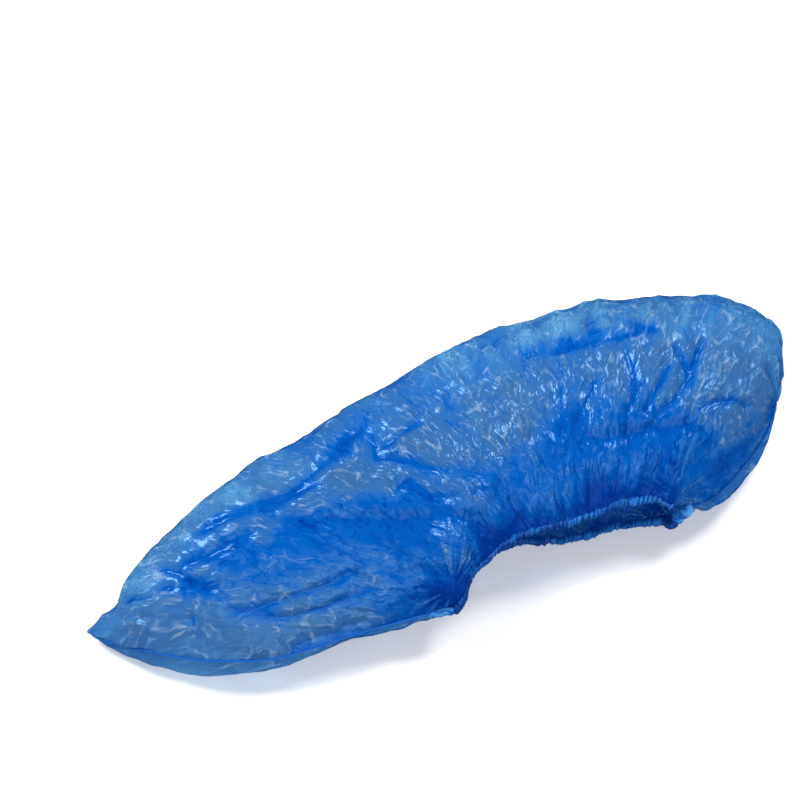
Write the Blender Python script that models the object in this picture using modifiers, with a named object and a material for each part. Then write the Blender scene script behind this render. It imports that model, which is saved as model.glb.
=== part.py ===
"""A disposable film shoe cover, lying on its side and puffed with air.

The film is cut flat, folded along the sole and welded at the toe and the heel.
An elastic thread in a folded hem gathers its mouth. The toe points to -X, the sole fold
faces +Y, the mouth faces -Y, and the cover rests on the plane Z = 0.
Lengths are in metres.
"""

import math

import bmesh
import bpy
import numpy as np
from mathutils import Vector

COVER_LENGTH = 0.388
COVER_WIDTH = 0.130
COVER_HEIGHT = 0.062
FILM_WALL = 0.0010
END_REACH = 0.0116

MOUTH_GAPE = 0.028
MOUTH_TUCK = 0.015
TUCK_SHARE = 0.66
BELLY_POWER = 3

ELASTIC_THICKNESS = 0.0012
ELASTIC_PLAY = 0.00045
HEM_WALL = 0.0010
HEM_SLIT_ANGLE = math.radians(24)
HEM_RUFFLE = 0.0006
HEM_TILT = math.radians(30)
CORNER_RATIO = 1.1
CORNER_POWER = 5
HEM_RUFFLES = 28
COLUMNS_PER_RUFFLE = 4
HEM_ROWS = 5
LINE_SAMPLES = 720
LINE_SMOOTHING = 1

SEAL_WIDTH = 0.0020
SEAL_THICKNESS = 0.0012
SEAL_TILT = math.radians(45)
SEAM_STEP = 0.2
TOE_TAB_WIDTH = 0.0050
TOE_TAB_LENGTH = 0.016
HEEL_TAB_WIDTH = 0.0060
HEEL_TAB_LENGTH = 0.009

FIT_GAP = 0.0003
HEM_GAP = 0.0009

LIP_ROUNDNESS = 0.36

GATHER_DEPTH = 0.0022
GATHER_SHARE = 0.42
GATHER_END_POWER = 0.3
GATHERS = 10

# Each row is one section, from the toe's tip to the heel. X is a share of the length, Y of
# the width and Z of the height. Crown and keel are how high and how low the film goes
# between its edges, and a keel below zero is pressed flat by the table. Belly is how far
# the lower film swells out past the rim, and point is how sharp the upper film's rim is.
SECTIONS = (
    # sole_x, sole_y, sole_z, rim_x, rim_y, rim_z, crown, keel, belly, point
    (-0.495, 0.003, 0.125, -0.495, -0.040, 0.115, 0.160, 0.080, 0.00, 0.3),
    (-0.474, -0.003, 0.170, -0.484, -0.088, 0.160, 0.230, 0.075, 0.04, 0.3),
    (-0.450, 0.000, 0.225, -0.463, -0.160, 0.225, 0.350, 0.040, 0.07, 0.3),
    (-0.432, 0.060, 0.280, -0.441, -0.222, 0.285, 0.470, 0.005, 0.12, 0.3),
    (-0.408, 0.122, 0.320, -0.416, -0.288, 0.325, 0.570, -0.050, 0.18, 0.4),
    (-0.335, 0.201, 0.355, -0.366, -0.384, 0.345, 0.680, -0.100, 0.22, 0.5),
    (-0.233, 0.304, 0.385, -0.290, -0.453, 0.355, 0.760, -0.130, 0.22, 0.5),
    (-0.129, 0.339, 0.400, -0.193, -0.484, 0.360, 0.820, -0.130, 0.16, 0.4),
    (-0.005, 0.387, 0.420, -0.093, -0.518, 0.375, 0.870, -0.130, 0.12, 0.2),
    (0.055, 0.408, 0.435, -0.046, -0.534, 0.400, 0.900, -0.130, 0.03, 0.0),
    (0.129, 0.422, 0.450, -0.010, -0.446, 0.410, 0.935, -0.130, 0.00, 0.3),
    (0.198, 0.403, 0.450, 0.032, -0.403, 0.415, 0.965, -0.130, 0.00, 0.5),
    (0.252, 0.382, 0.450, 0.075, -0.400, 0.415, 0.985, -0.130, 0.00, 0.5),
    (0.304, 0.345, 0.450, 0.122, -0.425, 0.415, 1.000, -0.130, 0.00, 0.5),
    (0.356, 0.307, 0.450, 0.183, -0.430, 0.415, 1.000, -0.130, 0.00, 0.5),
    (0.404, 0.255, 0.450, 0.235, -0.460, 0.410, 0.985, -0.130, 0.02, 0.3),
    (0.437, 0.200, 0.435, 0.265, -0.520, 0.400, 0.940, -0.110, 0.05, 0.0),
    (0.462, 0.136, 0.420, 0.307, -0.544, 0.375, 0.870, -0.090, 0.16, 0.2),
    (0.479, 0.076, 0.385, 0.363, -0.474, 0.350, 0.775, -0.060, 0.26, 0.2),
    (0.488, 0.036, 0.355, 0.419, -0.360, 0.325, 0.675, -0.015, 0.28, 0.2),
    (0.493, 0.012, 0.305, 0.464, -0.194, 0.290, 0.515, 0.040, 0.18, 0.2),
    (0.494, -0.028, 0.260, 0.486, -0.070, 0.245, 0.325, 0.160, 0.00, 0.2),
)
SOLE_X, SOLE_Y, SOLE_Z, RIM_X, RIM_Y, RIM_Z, CROWN, KEEL, BELLY, POINT = range(10)
TOE_CORNER_ROW = 9
HEEL_CORNER_ROW = 16
TOE_COLUMNS = 26
MOUTH_COLUMNS = 40
HEEL_COLUMNS = 10
PANEL_ROWS = 13

# Long folds pulled across the upper film, each a crease from one point to another.
# X and Y are shares as above, depth and reach are shares of the height.
FOLDS = (
    # start_x, start_y, end_x, end_y, depth, reach
    (-0.460, -0.020, -0.250, -0.230, 0.105, 0.14),
    (-0.410, 0.060, -0.180, 0.000, 0.100, 0.14),
    (-0.330, 0.160, -0.120, 0.120, 0.090, 0.14),
    (-0.340, -0.330, -0.060, -0.420, 0.085, 0.13),
    (-0.290, -0.080, -0.040, -0.360, 0.110, 0.16),
    (-0.180, -0.040, -0.010, -0.300, 0.110, 0.15),
    (-0.120, 0.200, 0.060, 0.040, 0.105, 0.16),
    (0.000, 0.060, 0.130, -0.100, 0.095, 0.15),
    (0.060, 0.300, 0.260, 0.230, 0.085, 0.15),
    (0.300, 0.220, 0.260, -0.100, 0.090, 0.15),
    (0.440, 0.080, 0.330, -0.380, 0.105, 0.15),
    (0.400, -0.060, 0.290, -0.440, 0.085, 0.13),
)

FILM_COLOUR = (0.03, 0.23, 0.62, 0.75)
HEM_COLOUR = (0.05, 0.30, 0.66, 0.85)
ELASTIC_COLOUR = (0.45, 0.68, 0.80, 1.0)
WELD_DISTANCE = 0.00002


def section(row):
    """The table's values at a row number, whole or not, on a smooth curve through the rows."""
    table = np.array(SECTIONS)
    last = len(table) - 1
    before = min(int(row), last - 1)
    part = row - before
    p0, p1, p2, p3 = (table[min(max(before + k, 0), last)] for k in (-1, 0, 1, 2))
    slope_in = (p2 - p0) / 2
    slope_out = (p3 - p1) / 2
    square, cube = part * part, part**3
    return (
        (2 * cube - 3 * square + 1) * p1
        + (cube - 2 * square + part) * slope_in
        + (3 * square - 2 * cube) * p2
        + (cube - square) * slope_out
    )


def at(x, y, z):
    """A point from shares of the length, the width and the height."""
    return np.array((x * COVER_LENGTH, y * COVER_WIDTH, z * COVER_HEIGHT))


def mouth_share(row):
    """How far along the mouth a row is, from 0 at its toe corner to 1 at its heel corner."""
    share = (row - TOE_CORNER_ROW) / (HEEL_CORNER_ROW - TOE_CORNER_ROW)
    return min(max(share, 0.0), 1.0)


def lip(row, lower):
    """The film's rim at a row: one seam outside the mouth, and two lips that part in it."""
    s = section(row)
    share = mouth_share(row)
    parting = (4 * share * (1 - share)) ** LIP_ROUNDNESS
    rim = at(s[RIM_X], s[RIM_Y], s[RIM_Z])
    rim[2] += (-0.5 if lower else 0.5) * MOUTH_GAPE * parting
    if lower:
        rim[1] += MOUTH_TUCK * parting * (1 - share / TUCK_SHARE)
    return rim


def crease(x, y):
    """The depth of the long folds at a point of the upper film, in metres."""
    depth = 0.0
    for start_x, start_y, end_x, end_y, fold_depth, reach in FOLDS:
        start, end = at(start_x, start_y, 0), at(end_x, end_y, 0)
        run = end - start
        along = np.dot(np.array((x, y, 0)) - start, run) / np.dot(run, run)
        if not 0 < along < 1:
            continue
        aside = np.linalg.norm(start + along * run - (x, y, 0)) / (reach * COVER_HEIGHT)
        depth += fold_depth * COVER_HEIGHT * math.sin(math.pi * along) * math.exp(-aside * aside)
    return depth


def gather(row, turn):
    """The height of the small gathers that fan out from the mouth's elastic, in metres."""
    share = mouth_share(row)
    if not 0 < share < 1 or turn > GATHER_SHARE:
        return 0.0
    fade = math.sin(math.pi * turn / GATHER_SHARE) * math.sin(math.pi * share) ** GATHER_END_POWER
    return GATHER_DEPTH * fade * math.sin(2 * math.pi * GATHERS * share)


def smooth_point(row, turn, lower):
    """A point on the film's outer face without its folds and gathers. Turn runs from 0 at
    the rim to 1 at the sole fold."""
    s = section(row)
    rim = lip(row, lower)
    sole = at(s[SOLE_X], s[SOLE_Y], s[SOLE_Z])
    swell = math.sin(math.pi * turn)
    across = (1 - math.cos(math.pi * turn)) / 2
    edge_height = (rim[2] + sole[2]) / 2
    if lower:
        point = rim + (sole - rim) * across
        outward = (rim - sole)[:2] / np.linalg.norm((rim - sole)[:2])
        point[:2] += outward * s[BELLY] * COVER_WIDTH * swell * (1 - turn) ** BELLY_POWER
        point[2] -= (edge_height - s[KEEL] * COVER_HEIGHT) * swell
        point[2] = max(point[2], 0.0)
    else:
        across += s[POINT] * (math.sin(math.pi * turn / 2) - across)
        point = rim + (sole - rim) * across
        point[2] += (s[CROWN] * COVER_HEIGHT - edge_height) * swell
    return point


def film_point(row, turn, lower):
    """A point on the film's outer face, with its folds and gathers."""
    point = smooth_point(row, turn, lower)
    if lower:
        point[2] = max(point[2] - gather(row, turn), 0.0)
    else:
        point[2] += gather(row, turn)
        point[2] -= crease(point[0], point[1]) * math.sin(math.pi * turn)
    return point


def mouth_loop(share):
    """A point on the mouth's edge, and the way the hem stands off it there. Share goes once
    round: along the upper lip to the heel corner and back along the lower lip."""
    angle = 2 * math.pi * share
    row = TOE_CORNER_ROW + (HEEL_CORNER_ROW - TOE_CORNER_ROW) * (1 - math.cos(angle)) / 2
    s = section(row)
    across = at(s[RIM_X] - s[SOLE_X], s[RIM_Y] - s[SOLE_Y], 0)
    tilt = -HEM_TILT * math.sin(angle)
    out = across / np.linalg.norm(across) * math.cos(tilt)
    out[0] += CORNER_RATIO * math.cos(angle) ** CORNER_POWER
    out[2] = math.sin(tilt)
    return lip(row, angle > math.pi), out


BORE_RADIUS = ELASTIC_THICKNESS / 2 + ELASTIC_PLAY
HEM_REACH = BORE_RADIUS + HEM_RUFFLE + HEM_WALL + HEM_GAP


def square_to(line, ways):
    """Unit ways at the points of a closed line, with no share along the line."""
    tangents = np.roll(line, -1, axis=0) - np.roll(line, 1, axis=0)
    tangents /= np.linalg.norm(tangents, axis=1)[:, None]
    ways = ways - np.sum(ways * tangents, axis=1)[:, None] * tangents
    ways /= np.linalg.norm(ways, axis=1)[:, None]
    return ways, np.cross(ways, tangents)


def hem_line():
    """The hem's middle line as even points, each with its ways out of the film and across."""
    samples = [mouth_loop(k / LINE_SAMPLES) for k in range(LINE_SAMPLES)]
    rim = np.array([point for point, _out in samples])
    outs, _sides = square_to(rim, np.array([out for _point, out in samples]))
    rows = np.hstack((rim + outs * HEM_REACH, outs))
    rows = np.vstack((rows, rows[:1]))
    run = np.concatenate(([0], np.cumsum(np.linalg.norm(np.diff(rows[:, :3], axis=0), axis=1))))
    count = HEM_RUFFLES * COLUMNS_PER_RUFFLE
    even = np.arange(count) / count * run[-1]
    rows = np.column_stack([np.interp(even, run, column) for column in rows.T])
    for _pass in range(LINE_SMOOTHING):
        rows = (np.roll(rows, 1, axis=0) + 2 * rows + np.roll(rows, -1, axis=0)) / 4
    line = rows[:, :3]
    outs, sides = square_to(line, rows[:, 3:])
    return line, outs, sides


def seam_frame(row):
    """The seam's point at a row and the way that the seal stands off the film there."""
    last = len(SECTIONS) - 1
    run = lip(min(row + SEAM_STEP, last), False) - lip(max(row - SEAM_STEP, 0), False)
    out = np.array((run[1], -run[0], 0.0)) / math.hypot(run[0], run[1])
    return lip(row, False), out * math.cos(SEAL_TILT) + (0, 0, math.sin(SEAL_TILT))


def material(name, colour, roughness):
    made = bpy.data.materials.new(name)
    made.use_nodes = True
    shader = made.node_tree.nodes["Principled BSDF"]
    shader.inputs["Base Color"].default_value = (*colour[:3], 1.0)
    shader.inputs["Alpha"].default_value = colour[3]
    shader.inputs["Roughness"].default_value = roughness
    shader.inputs["Metallic"].default_value = 0.0
    return made


def add_object(name, data, finish, root):
    made = bpy.data.objects.new(name, data)
    made.data.materials.append(finish)
    made.parent = root
    bpy.data.collections["shoe_cover"].objects.link(made)
    return made


def bend_grid(columns, rows, point):
    """A grid of faces whose corner (i, j) is moved to point(i, j)."""
    grid = bmesh.new()
    bmesh.ops.create_grid(grid, x_segments=columns, y_segments=rows, size=1.0)
    for corner in grid.verts:
        i = round((corner.co.x + 1) / 2 * columns)
        j = round((corner.co.y + 1) / 2 * rows)
        corner.co = Vector(point(i, j))
    bmesh.ops.remove_doubles(grid, verts=grid.verts, dist=WELD_DISTANCE)
    return grid


def finish_sheet(name, grid, finish, root, wall, offset):
    mesh = bpy.data.meshes.new(name)
    grid.to_mesh(mesh)
    grid.free()
    mesh.shade_smooth()
    made = add_object(name, mesh, finish, root)
    thicken = made.modifiers.new("wall", "SOLIDIFY")
    thicken.thickness = wall
    thicken.offset = offset
    return made


def build_film(finish, root):
    """The bag: one grid of film, its rim welded at the toe and the heel and open between."""
    toe = np.linspace(0, TOE_CORNER_ROW, TOE_COLUMNS + 1)
    mouth = np.linspace(TOE_CORNER_ROW, HEEL_CORNER_ROW, MOUTH_COLUMNS + 1)
    heel = np.linspace(HEEL_CORNER_ROW, len(SECTIONS) - 1, HEEL_COLUMNS + 1)
    rows = np.concatenate((toe, mouth[1:], heel[1:]))

    def point(i, j):
        turn = j / PANEL_ROWS
        return film_point(rows[i], turn if turn <= 1 else 2 - turn, turn > 1)

    grid = bend_grid(len(rows) - 1, 2 * PANEL_ROWS, point)
    ends = [lip(row, False)[0] for row in (0, len(SECTIONS) - 1)]
    rims = [edge for edge in grid.edges if edge.is_boundary]
    for end in ends:
        near = [e for e in rims if all(abs(v.co.x - end) < END_REACH for v in e.verts)]
        bmesh.ops.holes_fill(grid, edges=near, sides=0)
    bmesh.ops.recalc_face_normals(grid, faces=grid.faces)
    finish_sheet("film_bag", grid, finish, root, FILM_WALL, -1.0)


def build_hem(finish, root):
    """The folded hem: a ruffled channel of film round the elastic, open in a narrow slit."""
    line, outs, sides = hem_line()

    def point(i, j):
        """The hem's inner face at column i, from the slit's one side round to its other."""
        i %= len(line)
        angle = math.pi + HEM_SLIT_ANGLE + j / HEM_ROWS * 2 * (math.pi - HEM_SLIT_ANGLE)
        wave = 0.5 - 0.5 * math.cos(2 * math.pi * i / COLUMNS_PER_RUFFLE)
        radius = BORE_RADIUS + HEM_RUFFLE * wave
        return line[i] + (outs[i] * math.cos(angle) + sides[i] * math.sin(angle)) * radius

    grid = bend_grid(len(line), HEM_ROWS, point)
    finish_sheet("elastic_hem", grid, finish, root, HEM_WALL, 1.0)


def build_elastic(finish, root):
    """The elastic thread, one closed loop down the middle of the hem."""
    curve = bpy.data.curves.new("elastic_band", "CURVE")
    curve.dimensions = "3D"
    curve.bevel_depth = ELASTIC_THICKNESS / 2
    curve.bevel_resolution = 0
    line, _outs, _sides = hem_line()
    spline = curve.splines.new("POLY")
    spline.points.add(len(line) - 1)
    spline.use_cyclic_u = True
    for knot, point in zip(spline.points, line):
        knot.co = (*point, 1.0)
    add_object("elastic_band", curve, finish, root)


def build_seal(name, end_row, corner_row, columns, tab_width, tab_length, finish, root):
    """A welded edge: a thin strip that stands off the seam, with a wider tab at the mouth."""
    corner = lip(corner_row, False)
    clear = HEM_REACH + HEM_WALL
    rows = np.linspace(end_row, corner_row, columns + 1)
    rows = [row for row in rows if np.linalg.norm(lip(row, False) - corner) > clear]

    def point(i, j):
        seam, out = seam_frame(rows[i])
        past_tab = (np.linalg.norm(seam - corner) - clear) / tab_length
        widen = min(max(1 - past_tab, 0.0), 1.0)
        width = SEAL_WIDTH + (tab_width - SEAL_WIDTH) * widen
        return seam + out * (SEAL_THICKNESS / 2 + FIT_GAP + width * j)

    grid = bend_grid(len(rows) - 1, 1, point)
    finish_sheet(name, grid, finish, root, SEAL_THICKNESS, 0.0)


def rest_on_table(root):
    """Moves the cover so that its box stands on Z = 0 with its middle over the origin."""
    bpy.context.view_layer.update()
    graph = bpy.context.evaluated_depsgraph_get()
    points = []
    for part in root.children:
        shape = part.evaluated_get(graph).to_mesh()
        points += [part.matrix_world @ corner.co for corner in shape.vertices]
    low = Vector([min(p[k] for p in points) for k in range(3)])
    high = Vector([max(p[k] for p in points) for k in range(3)])
    middle = (low + high) / 2
    root.location = (-middle.x, -middle.y, -low.z)


def main():
    for old in list(bpy.data.objects):
        bpy.data.objects.remove(old, do_unlink=True)
    parts = bpy.data.collections.new("shoe_cover")
    bpy.context.scene.collection.children.link(parts)
    root = bpy.data.objects.new("shoe_cover_root", None)
    parts.objects.link(root)
    film = material("blue_film", FILM_COLOUR, 0.25)
    hem = material("gathered_film", HEM_COLOUR, 0.35)
    rubber = material("elastic", ELASTIC_COLOUR, 0.6)
    build_film(film, root)
    build_hem(hem, root)
    build_elastic(rubber, root)
    last = len(SECTIONS) - 1
    build_seal("toe_seal", 0, TOE_CORNER_ROW, TOE_COLUMNS, TOE_TAB_WIDTH, TOE_TAB_LENGTH, hem, root)
    build_seal("heel_seal", last, HEEL_CORNER_ROW, HEEL_COLUMNS, HEEL_TAB_WIDTH, HEEL_TAB_LENGTH, hem, root)
    rest_on_table(root)


main()
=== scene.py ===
"""The looks of a disposable film shoe cover that lies on its side, puffed with air.

The film, its gathered hem, the elastic and the welded seams are modelled over the frame's
solids. Lengths are in metres unless a name says mm, and colours are sRGB hex values.
"""

import math

import bpy
import numpy as np
from mathutils import Matrix, Vector


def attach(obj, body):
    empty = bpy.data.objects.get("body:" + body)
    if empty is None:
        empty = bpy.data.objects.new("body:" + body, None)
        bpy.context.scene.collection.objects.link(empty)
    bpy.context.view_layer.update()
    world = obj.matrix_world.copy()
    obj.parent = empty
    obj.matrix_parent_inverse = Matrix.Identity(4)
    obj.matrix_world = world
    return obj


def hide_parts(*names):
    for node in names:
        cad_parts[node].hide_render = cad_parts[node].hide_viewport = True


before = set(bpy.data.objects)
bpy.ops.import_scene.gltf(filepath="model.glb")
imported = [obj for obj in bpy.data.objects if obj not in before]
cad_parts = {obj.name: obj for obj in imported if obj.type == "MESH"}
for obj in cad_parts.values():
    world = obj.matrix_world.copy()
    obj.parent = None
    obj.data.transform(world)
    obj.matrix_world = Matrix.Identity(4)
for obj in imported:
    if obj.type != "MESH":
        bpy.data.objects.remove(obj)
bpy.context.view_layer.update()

MM = 0.001

# The photograph's view. The picture's scale is in pixels a metre at the cover's middle, and
# MIDDLE_PIXEL is the pixel on which MIDDLE_PLACE falls.
PICTURE_WIDTH = 800
PICTURE_SCALE = 1980
MIDDLE_PIXEL = (437.0, 468.6)
MIDDLE_PLACE = Vector((0.0012, 0.0098, 0.025))
VIEW_TURN = math.radians(-23.86)
VIEW_HEIGHT = math.radians(68)
LENS_MM = 200
SENSOR_MM = 36

# Each row is one section of the bag, from the toe's tip to the heel, in shares of the
# cover's length, width and height from its middle. The sole fold is its far edge, and the rim
# is its near one, a weld or the mouth. Crown and keel are how high the upper and the lower
# film stand between them. Belly is how far the lower film swells past the rim, and point is
# how sharp the upper film's rim is.
SECTIONS = np.array((
    # sole_x, sole_y, sole_z, rim_x, rim_y, rim_z, crown, keel, belly, point
    (-0.497, 0.004, 0.125, -0.499, -0.024, 0.115, 0.160, 0.080, 0.00, 0.3),
    (-0.476, 0.006, 0.170, -0.485, -0.080, 0.160, 0.230, 0.075, 0.10, 0.3),
    (-0.447, 0.014, 0.225, -0.463, -0.148, 0.225, 0.350, 0.040, 0.12, 0.3),
    (-0.431, 0.062, 0.280, -0.441, -0.210, 0.285, 0.470, 0.005, 0.20, 0.3),
    (-0.408, 0.122, 0.320, -0.416, -0.271, 0.325, 0.570, -0.050, 0.21, 0.4),
    (-0.335, 0.201, 0.355, -0.366, -0.364, 0.345, 0.680, -0.100, 0.20, 0.5),
    (-0.233, 0.304, 0.385, -0.290, -0.453, 0.355, 0.760, -0.130, 0.15, 0.5),
    (-0.129, 0.339, 0.400, -0.193, -0.484, 0.360, 0.820, -0.130, 0.10, 0.4),
    (-0.005, 0.387, 0.420, -0.102, -0.520, 0.375, 0.870, -0.130, 0.08, 0.2),
    (0.055, 0.408, 0.435, -0.063, -0.540, 0.400, 0.900, -0.130, 0.03, 0.0),
    (0.129, 0.422, 0.450, -0.020, -0.462, 0.410, 0.935, -0.130, 0.00, 0.3),
    (0.198, 0.403, 0.450, 0.028, -0.410, 0.415, 0.965, -0.130, 0.00, 0.5),
    (0.252, 0.382, 0.450, 0.073, -0.400, 0.415, 0.985, -0.130, 0.00, 0.5),
    (0.304, 0.345, 0.450, 0.121, -0.424, 0.415, 1.000, -0.130, 0.00, 0.5),
    (0.356, 0.307, 0.450, 0.183, -0.430, 0.415, 1.000, -0.130, 0.00, 0.5),
    (0.404, 0.255, 0.450, 0.235, -0.460, 0.410, 0.985, -0.130, 0.02, 0.3),
    (0.437, 0.200, 0.435, 0.265, -0.520, 0.400, 0.940, -0.110, 0.05, 0.0),
    (0.462, 0.136, 0.420, 0.307, -0.540, 0.375, 0.870, -0.090, 0.12, 0.2),
    (0.479, 0.076, 0.385, 0.363, -0.470, 0.350, 0.775, -0.060, 0.19, 0.2),
    (0.488, 0.036, 0.355, 0.419, -0.360, 0.325, 0.675, -0.015, 0.27, 0.2),
    (0.493, 0.012, 0.305, 0.464, -0.194, 0.290, 0.515, 0.040, 0.22, 0.2),
    (0.494, -0.028, 0.260, 0.486, -0.070, 0.245, 0.325, 0.160, 0.00, 0.2),
))
SOLE_X, SOLE_Y, SOLE_Z, RIM_X, RIM_Y, RIM_Z, CROWN, KEEL, BELLY, POINT = range(10)
LAST_ROW = len(SECTIONS) - 1

# The cover's length, width and height, and the place of its middle on the floor.
COVER = np.array((0.388, 0.130, 0.062))
PLACE = np.array((0.0012, 0.0098, 0.0))

# The mouth runs between two rows. Its lips part by the gape, rounded at the corners, and the
# lower lip is tucked in up to a share of the mouth's run.
TOE_CORNER_ROW = 9
HEEL_CORNER_ROW = 16
MOUTH_GAPE = 0.028
MOUTH_TUCK = 0.015
TUCK_END = 0.58
LIP_ROUNDNESS = 0.36

# The hem: how far and how steeply it stands off the mouth's rim, how much it turns outward at
# the corners, its radius, how far apart its ribs are and how far it sways. The elastic thread
# runs in its middle.
HEM_REACH = 0.0030
HEM_TILT = math.radians(30)
CORNER_RATIO = 1.1
HEM_RADIUS = 0.0021
HEM_RIB_MM = 2.3
HEM_SWAY = 0.0010
HEM_RINGS = 1200
HEM_SEGMENTS = 16
ELASTIC_RADIUS = 0.0006
ELASTIC_RINGS = 400
ELASTIC_SEGMENTS = 8

# The welds that close the toe and the heel. They fade out short of the two tips, at rows.
SEAL_WIDTH = 0.0018
SEAL_THICKNESS = 0.0008
TOE_SEAL_START = 0.35
HEEL_SEAL_END = LAST_ROW - 1.4
SEAL_SEGMENTS = 14

# The loose tabs at the ends of the welds, rolled and crumpled.
TAB_RINGS = 40
TAB_SEGMENTS = 20
TAB_WANDER = 0.0006

# How the bag's form is finished: the passes that smooth the film over the mouth's corners,
# the rows in which the toe narrows to its tip and the heel closes, and the least height.
CORNER_SMOOTHING = 90
TIP_ROWS = 1.1
TIP_SIZE = 0.04
HEEL_END_ROWS = 0.7
FLOOR_GAP = 0.0002

# The film's blue where it is single, where it doubles and where it bunches up.
FILM_COLOURS = ("#4A84B8", "#0056AA", "#00348C")

# What one layer of film does to what shows through it, the tint of its gloss, and the white
# of its sharp creases, which is partly the film's own crease whitening and partly painted glints.
FILM_TINT = "#5AAADE"
GLOSS_TINT = "#9CD4FF"
CREASE_AND_GLINT_COLOUR = "#B4D4EC"

# The film's crumples, and in the last row its embossing. That is about 0.5 mm across on the
# real film, too fine to show, so it is drawn as coarse as it needs to show. Their last column
# whitens the creases, partly as the film's own crease whitening and partly as painted glints.
CRUMPLES = (
    # size_mm, stretch, height_m, whitening_and_glint
    (6.5, 2.2, 0.0017, 0.0),
    (3.0, 3.6, 0.0012, 0.8),
    (1.5, 3.6, 0.0003, 0.6),
)

# The crumples' places wander up to the reach over this length. Then the sizes of the noise
# that draws the film's broad and thin dark lines.
WANDER_MM = 11.111
WANDER_REACH = 0.006
BROAD_LINE_MM = 11.111
THIN_LINE_MM = 4.1667

# The crumple of bunched and welded film, and the grain of the rubber thread. Both are drawn
# as coarse as they need to show.
STRIP_GRAIN_MM = 2.0
RUBBER_GRAIN_MM = 1.1111

# The film's grid: columns along the toe, the mouth and the heel, and rows over its two sides.
TOE_COLUMNS = 122
MOUTH_COLUMNS = 216
HEEL_COLUMNS = 62
UPPER_ROWS = 140
LOWER_ROWS = 98

# The lines of pull fan out from one place, in shares of the cover's size. Widths across
# them are counted at one radius.
FAN_MIDDLE = (0.10, -0.86)
PULL_RADIUS = 0.085

# The pleats that fan out from the gathered mouth: how many there are in a full turn about
# the fan's middle, how deep they are at the hem, and how far out they die away.
PLEATS = (
    # number, depth_mm, fade_mm, seed
    (150, 0.55, 7.0, 1),
    (84, 1.00, 14.0, 2),
    (46, 1.40, 28.0, 3),
    (24, 1.80, 60.0, 4),
)

# The tight pleats that fan out from the mouth's two corners, with places in mm in plan. They
# start a little way out, and their crests are paler than their troughs: painted light on the
# crests and painted shade in the troughs.
CORNER_FAN_START_MM = 9
CORNER_FAN_SHADE = 2.4
CORNER_FANS = (
    # x, y, number, depth_mm, reach_mm, seed
    (-20.0, -66.0, 64, 1.5, 17.0, 21),
    (101.0, -66.0, 64, 1.0, 17.0, 22),
)

# The facets that crumpling leaves in the film: the size across and along the pull, and how
# high their corners stand.
FACETS = (
    # across_mm, along_mm, height_mm, seed
    (15.0, 34.0, 2.00, 11),
    (7.5, 15.0, 1.60, 12),
    (3.8, 13.0, 1.00, 13),
    (2.2, 8.0, 0.40, 14),
)

# Short sharp creases that crumpling leaves, scattered over each side of the film.
CREASES = (
    # number, length_mm, height_mm, reach_mm, wander_degrees, seed
    (26, 46.0, 1.7, 4.5, 25, 91),
    (70, 24.0, 1.1, 2.6, 40, 92),
    (150, 12.0, 0.7, 1.6, 70, 93),
)

# How wide a crease's crest is, where painted light and shade change the blue: paler on a ridge, deeper in a
# valley.
CREST_MM = 1.1

# How the film's depth of blue changes from place to place, across and along the pull.
DEPTH_CHANGES = (
    # across_mm, along_mm, strength, seed
    (14.0, 36.0, 0.28, 31),
    (5.0, 24.0, 0.30, 32),
    (2.8, 10.0, 0.26, 33),
)

# The long dark folds of the upper film, each along plan points in mm from the cover's
# middle.
FOLDS = (
    # depth_mm, reach_mm, points
    (1.2, 2.2, ((-173, -1), (-167, -5), (-161, -9), (-153, -8), (-145, -9))),
    (1.9, 2.0, ((-159, 16), (-151, 5), (-143, -4), (-138, -13), (-132, -19), (-124, -19))),
    (1.9, 3.2, ((-144, 0), (-129, -3), (-113, -2), (-96, -3))),
    (1.5, 2.4, ((-134, 13), (-116, 11), (-103, 11), (-85, 12), (-73, 9), (-55, 7))),
    (1.5, 2.4, ((-134, -30), (-115, -36), (-98, -38), (-75, -40), (-53, -39))),
    (1.2, 2.4, ((-119, -36), (-102, -46), (-80, -49), (-53, -50))),
    (1.2, 2.4, ((-110, -58), (-100, -60), (-86, -61), (-65, -62))),
    (1.1, 1.8, ((-144, -25), (-146, -32), (-147, -38))),
    (2.0, 4.0, ((-97, 13), (-81, 9), (-66, 13), (-50, 19), (-38, 26), (-26, 26))),
    (1.7, 3.0, ((-26, 26), (-30, 8), (-18, 1), (-8, -9), (4, -16), (18, -27))),
    (1.5, 2.4, ((-26, 11), (-14, 14), (1, 17))),
    (1.4, 1.8, ((-32, -13), (-20, -9), (-14, -22), (2, -31))),
    (1.9, 4.6, ((-103, -1), (-63, -12), (-28, -28), (-1, -40), (14, -49))),
    (0.9, 3.4, ((88, 29), (105, 32), (117, 24), (123, 15), (128, 8))),
    (0.9, 3.4, ((71, 22), (79, 22), (96, 19), (114, 14), (125, 15))),
    (1.9, 2.6, ((150, 1), (140, -8), (132, -17), (121, -25), (109, -29), (96, -38))),
    (1.4, 1.6, ((130, 1), (131, -8), (131, -17))),
    (1.4, 2.0, ((125, -7), (115, -16), (107, -22), (100, -29))),
    (1.5, 2.2, ((127, -35), (138, -34), (148, -36), (153, -41))),
    (1.7, 3.0, ((170, -32), (170, -39), (155, -51), (143, -57), (128, -63), (113, -65))),
    (1.2, 1.8, ((171, -21), (171, -29), (173, -34))),
    (1.4, 2.4, ((108, 10), (105, -6), (101, -16), (91, -23))),
    (1.6, 4.0, ((60, -18), (77, -30), (98, -34), (122, -41), (135, -51))),
)

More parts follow.
